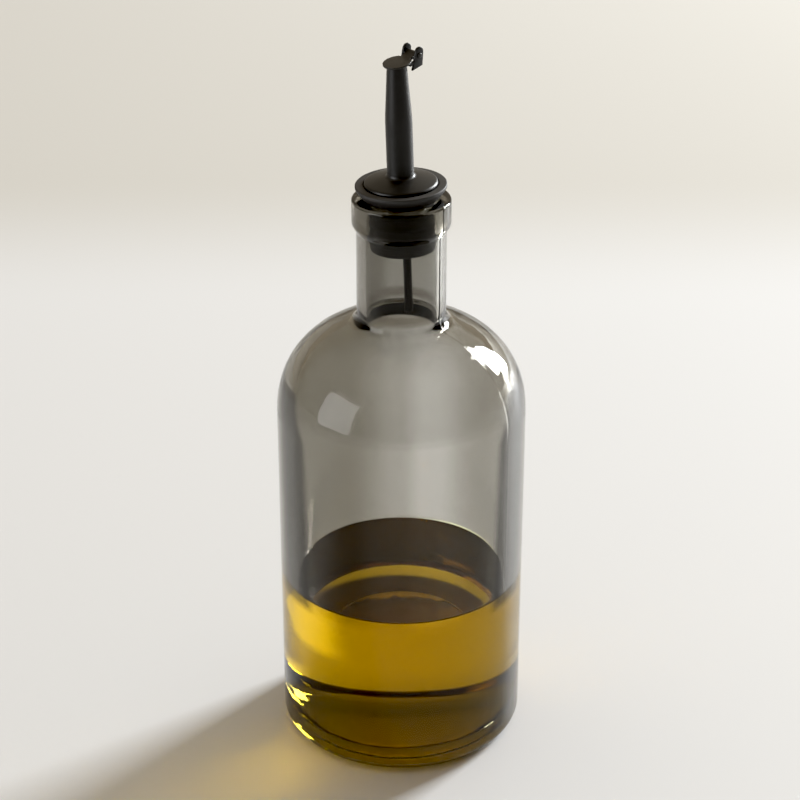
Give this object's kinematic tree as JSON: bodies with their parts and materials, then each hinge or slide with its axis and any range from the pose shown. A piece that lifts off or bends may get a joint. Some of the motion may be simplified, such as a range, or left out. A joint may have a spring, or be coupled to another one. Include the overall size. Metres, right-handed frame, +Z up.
{
  "type": "oil dispenser bottle",
  "caption": "Smoked glass oil dispenser bottle, part filled with golden oil, with a rubber stopper that carries a slim pouring spout, a hinged flap over the spout's mouth and a vent tube.",
  "frame": {"origin": "centre of the bottle's base, on the surface it stands on", "axes": "+Z up the bottle's axis, -Y towards the side that the picture shows, +X to the right of it"},
  "size_m": [0.081, 0.081, 0.2376],
  "materials": {
    "smoked_glass": "smooth grey tinted clear glass",
    "oil": "clear golden liquid with a flat mirror-like surface",
    "black_rubber": "matte moulded rubber",
    "black_coating": "satin black coating on metal",
    "black_plastic": "satin black plastic tube",
    "pin_metal": "worn satin black metal pin",
    "flap_coating": "satin black coating on thin metal"
  },
  "bodies": {
    "bottle": {"bottle": "smoked_glass", "oil": "oil", "stopper": "black_rubber", "spout": "black_coating", "vent_tube": "black_plastic", "hinge_pin": "pin_metal"},
    "flap": {"flap": "flap_coating"}
  },
  "joints": [
    {"name": "flap_hinge", "type": "hinge", "parent": "bottle", "child": "flap", "pos_m": [0.00341, 0.00379, 0.23503], "axis": [-0.6688, 0.7434, -0.0118], "range_deg": [0, 95]}
  ]
}
